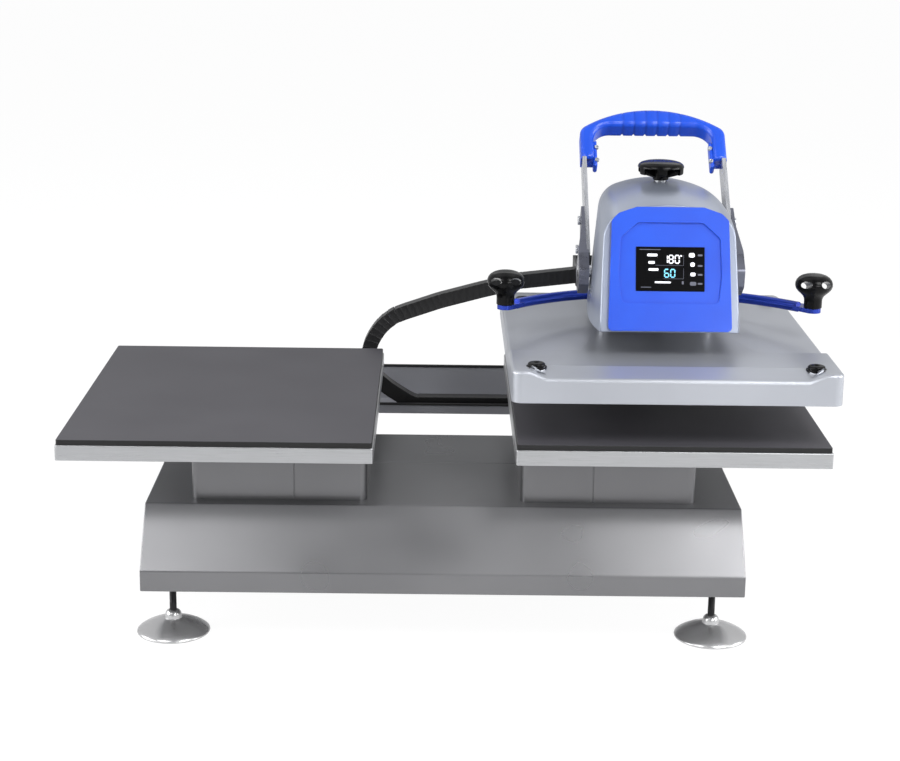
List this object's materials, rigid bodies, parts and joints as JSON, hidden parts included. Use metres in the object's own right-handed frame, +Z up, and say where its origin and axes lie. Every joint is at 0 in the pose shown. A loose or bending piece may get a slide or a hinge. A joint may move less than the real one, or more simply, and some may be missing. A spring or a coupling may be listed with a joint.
{
  "type": "dual station heat press",
  "caption": "Shuttle heat press: fixed padded lower platens on a folded base, and a heated, lever-closed head that slides along a rear rail between the stations.",
  "frame": {"origin": "on the floor under the middle of the machine", "axes": "+X to the operator's right along the rail, +Y to the rear, +Z up"},
  "size_m": [1.05, 0.7074, 0.6431],
  "materials": {
    "base_paint": "satin grey powder coat",
    "frame_paint": "satin grey powder coat",
    "tray_paint": "satin dark grey",
    "plate_aluminium": "machined",
    "pad_rubber": "matt silicone sponge",
    "steel": "zinc plated",
    "bar_steel": "polished",
    "element_steel": "sheathed",
    "spring_steel": "spring",
    "rod_chrome": "ground and plated",
    "foot_metal": "satin, with black studs",
    "bronze": "sintered",
    "stop_rubber": "matt",
    "chain_plastic": "moulded",
    "black_plastic": "moulded",
    "knob_plastic": "gloss moulded",
    "cap_black": "gloss moulded cap",
    "silver_paint": "silver powder coat",
    "cover_paint": "silver powder coat",
    "blue_plastic": "moulded",
    "blue_paint": "gloss",
    "screen": "glass touch panel",
    "board": "circuit board",
    "insulation_felt": "mineral felt"
  },
  "bodies": {
    "base": {"base_cover": "base_paint", "rear_deck": "base_paint", "base_frame": "frame_paint", "base_floor": "base_paint", "pedestal_left": "base_paint", "pedestal_right": "base_paint", "lower_plate_left": "plate_aluminium", "lower_plate_right": "plate_aluminium", "rubber_pad_left": "pad_rubber", "rubber_pad_right": "pad_rubber", "platen_bolts": "steel", "foot_nuts": "steel", "rear_bearer_left": "frame_paint", "rear_bearer_right": "frame_paint", "rail_beam": "frame_paint", "chain_tray": "tray_paint", "linear_rails": "steel", "rail_stops": "stop_rubber", "chain_bracket_fixed": "steel", "chain_lower": "chain_plastic", "power_inlet": "black_plastic"},
    "switch": {"power_rocker": "black_plastic"},
    "foot_fl": {"foot_front_left": "foot_metal"},
    "foot_fr": {"foot_front_right": "foot_metal"},
    "foot_rl": {"foot_rear_left": "foot_metal"},
    "foot_rr": {"foot_rear_right": "foot_metal"},
    "head": {"bearing_blocks": "steel", "slide_carriage": "frame_paint", "column": "frame_paint", "head_arm": "frame_paint", "head_frame": "steel", "shaft_bushes": "bronze", "guide_bushes": "bronze", "return_springs": "spring_steel", "head_casing": "silver_paint", "front_fascia": "blue_plastic", "display_screen": "screen", "control_board": "board", "pull_bar": "blue_paint", "bar_clamps": "steel", "pull_knobs": "knob_plastic", "chain_bracket_moving": "steel", "chain_upper": "chain_plastic"},
    "chain": {"chain_loop": "chain_plastic"},
    "press": {"heat_platen": "plate_aluminium", "heater_element": "element_steel", "insulation": "insulation_felt", "platen_cover": "cover_paint", "cover_bolts": "cap_black", "press_bracket": "steel", "guide_rods": "rod_chrome"},
    "handle": {"handle_shaft": "rod_chrome", "toggle_crank": "steel", "handle_plates": "bar_steel", "handle_bars": "bar_steel", "handle_bolts": "steel", "handle_grip": "blue_plastic"},
    "link": {"toggle_link": "steel"},
    "adjuster": {"pressure_knob": "knob_plastic", "pressure_screw": "steel"}
  },
  "joints": [
    {"name": "head_slide", "type": "slide", "parent": "base", "child": "head", "axis": [1, 0, 0], "range_m": [-0.58, 0]},
    {"name": "chain_follow", "type": "slide", "parent": "head", "child": "chain", "axis": [1, 0, 0], "range_m": [0, 0.29], "deforming": ["chain_loop", "chain_upper"]},
    {"name": "platen_press", "type": "slide", "parent": "head", "child": "press", "axis": [0, 0, 1], "range_m": [-0.0565, 0], "stiffness_N_per_m": 2600, "springref_m": 0.11, "deforming": ["return_springs"]},
    {"name": "handle_turn", "type": "hinge", "parent": "head", "child": "handle", "pos_m": [0.286, -0.13425, 0.45], "axis": [1, 0, 0], "range_deg": [0, 100]},
    {"name": "link_turn", "type": "hinge", "parent": "handle", "child": "link", "pos_m": [0.286, -0.16842, 0.44701], "axis": [1, 0, 0], "range_deg": [-129.3, 0]},
    {"name": "pressure_turn", "type": "hinge", "parent": "head", "child": "adjuster", "pos_m": [0.286, -0.09625, 0.565], "axis": [0, 0, 1], "continuous": true},
    {"name": "switch_rock", "type": "hinge", "parent": "base", "child": "switch", "pos_m": [-0.19, 0.04175, 0.12], "axis": [1, 0, 0], "range_deg": [0, 16]},
    {"name": "foot_turn_fl", "type": "hinge", "parent": "base", "child": "foot_fl", "pos_m": [-0.351, -0.30625, 0.07], "axis": [0, 0, 1], "continuous": true},
    {"name": "foot_turn_fr", "type": "hinge", "parent": "base", "child": "foot_fr", "pos_m": [0.351, -0.30625, 0.07], "axis": [0, 0, 1], "continuous": true},
    {"name": "foot_turn_rl", "type": "hinge", "parent": "base", "child": "foot_rl", "pos_m": [-0.33, 0.28475, 0.07], "axis": [0, 0, 1], "continuous": true},
    {"name": "foot_turn_rr", "type": "hinge", "parent": "base", "child": "foot_rr", "pos_m": [0.33, 0.28475, 0.07], "axis": [0, 0, 1], "continuous": true}
  ],
  "couplings": [
    {"joint": "chain_follow", "follows": "head_slide", "ratio": -0.5},
    {"joint": "handle_turn", "follows": "platen_press", "rad_per_m": -30.844},
    {"joint": "link_turn", "follows": "platen_press", "rad_per_m": 39.87}
  ]
}
